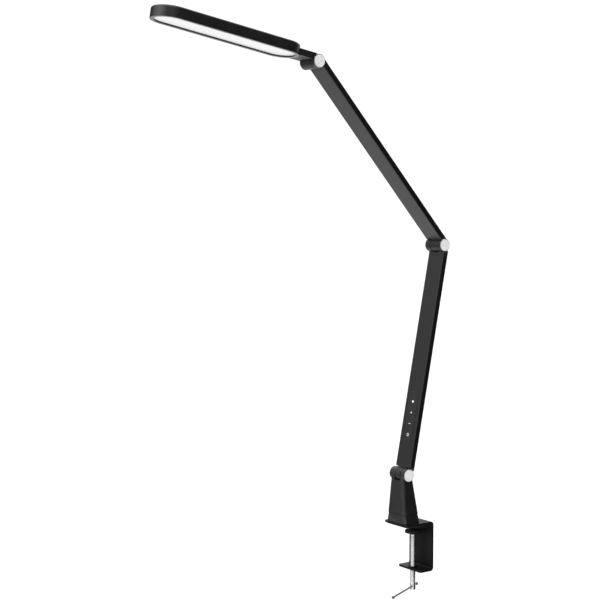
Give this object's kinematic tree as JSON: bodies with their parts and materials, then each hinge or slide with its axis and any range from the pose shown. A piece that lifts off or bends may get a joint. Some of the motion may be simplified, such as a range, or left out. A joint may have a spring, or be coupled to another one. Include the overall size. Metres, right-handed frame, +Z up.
{
  "type": "architect desk lamp",
  "caption": "Clamp-on desk lamp with a swivelling pedestal, two flat hinged arms, touch controls and a long slim light head.",
  "frame": {"origin": "on the rubber face under the clamp's upper jaw that rests on the desk top, on the pedestal's swivel axis", "axes": "+Z up, +X along the tilt hinges towards their bright caps, +Y towards the clamp's upright back; the head reaches towards -Y"},
  "size_m": [0.0571, 0.4729, 0.7906],
  "materials": {
    "clamp_paint": "satin powder coat, black",
    "rubber": "matt",
    "steel": "zinc plated",
    "screw_plate": "bright nickel plated thread",
    "bar_steel": "dull",
    "pedestal_plastic": "fine satin texture, black",
    "nylon": "plain",
    "inlet_plastic": "gloss",
    "cap_chrome": "satin chrome face, bright rim",
    "plug_plastic": "satin",
    "arm_black": "satin black coat",
    "end_plastic": "satin black",
    "screw_black": "black oxide",
    "panel_gloss": "high gloss",
    "mark_white": "lit from behind",
    "board_green": "solder mask",
    "lead_pvc": "plain",
    "head_plastic": "satin black",
    "bezel_gloss": "gloss black",
    "diffuser_opal": "opal, lit",
    "reflector_white": "white",
    "board_white": "white solder mask",
    "led_yellow": "phosphor"
  },
  "bodies": {
    "clamp": {"clamp_bracket": "clamp_paint", "jaw_pad": "rubber", "screw_bush": "clamp_paint", "swivel_post": "steel", "post_screw": "steel", "swivel_washer": "steel", "swivel_nut": "steel"},
    "pad": {"pressure_pad": "clamp_paint", "pad_rubber": "rubber"},
    "screw": {"clamp_screw": "screw_plate"},
    "bar": {"tommy_bar": "bar_steel"},
    "pedestal": {"pedestal_shell": "pedestal_plastic", "pedestal_skirt": "pedestal_plastic", "swivel_bush": "nylon", "thrust_washer": "nylon", "power_inlet": "inlet_plastic", "shell_screws": "steel", "base_bolt": "steel", "base_nut": "steel", "base_springs": "steel", "base_washers": "nylon", "base_cap": "cap_chrome", "base_plug": "plug_plastic"},
    "lower_arm": {"lower_arm_tube": "arm_black", "lower_arm_foot": "end_plastic", "lower_arm_ear": "end_plastic", "touch_panel": "panel_gloss", "touch_marks": "mark_white", "touch_board": "board_green", "lower_arm_lead": "lead_pvc", "lower_arm_screws": "screw_black", "elbow_washer": "nylon", "elbow_plug": "plug_plastic"},
    "upper_arm": {"upper_arm_tube": "arm_black", "upper_arm_knuckle": "end_plastic", "upper_arm_ear": "end_plastic", "upper_arm_lead": "lead_pvc", "upper_arm_screws": "screw_black", "elbow_bolt": "steel", "elbow_nut": "steel", "elbow_springs": "steel", "elbow_cap": "cap_chrome", "head_bolt": "steel", "head_nut": "steel", "head_springs": "steel", "head_washer": "nylon", "head_cap": "cap_chrome"},
    "head": {"head_plug": "plug_plastic", "head_neck": "end_plastic", "head_shell": "head_plastic", "head_bezel": "bezel_gloss", "diffuser": "diffuser_opal", "light_box": "reflector_white", "led_board": "board_white", "leds": "led_yellow", "neck_screws": "steel"}
  },
  "joints": [
    {"name": "base_swivel", "type": "hinge", "parent": "clamp", "child": "pedestal", "pos_m": [0, 0, 0.0045], "axis": [0, 0, 1], "range_deg": [-170, 170]},
    {"name": "base_tilt", "type": "hinge", "parent": "pedestal", "child": "lower_arm", "pos_m": [0, -0.003, 0.073], "axis": [1, 0, 0], "range_deg": [-43, 56]},
    {"name": "elbow", "type": "hinge", "parent": "lower_arm", "child": "upper_arm", "pos_m": [0, 0.06166, 0.3966], "axis": [1, 0, 0], "range_deg": [-53.6, 106]},
    {"name": "head_tilt", "type": "hinge", "parent": "upper_arm", "child": "head", "pos_m": [0, -0.16043, 0.64068], "axis": [-1, 0, 0], "range_deg": [-129, 73]},
    {"name": "pad_slide", "type": "slide", "parent": "clamp", "child": "pad", "axis": [0, 0, 1], "range_m": [-0.045, 0.009]},
    {"name": "screw_turn", "type": "hinge", "parent": "pad", "child": "screw", "pos_m": [0, 0.019, -0.05], "axis": [0, 0, 1], "range_deg": [-12960, 2592]},
    {"name": "bar_slide", "type": "slide", "parent": "screw", "child": "bar", "axis": [-0.4274, 0.9041, 0], "range_m": [-0.0065, 0.0605]}
  ],
  "couplings": [
    {"joint": "screw_turn", "follows": "pad_slide", "rad_per_m": 5026.5}
  ]
}
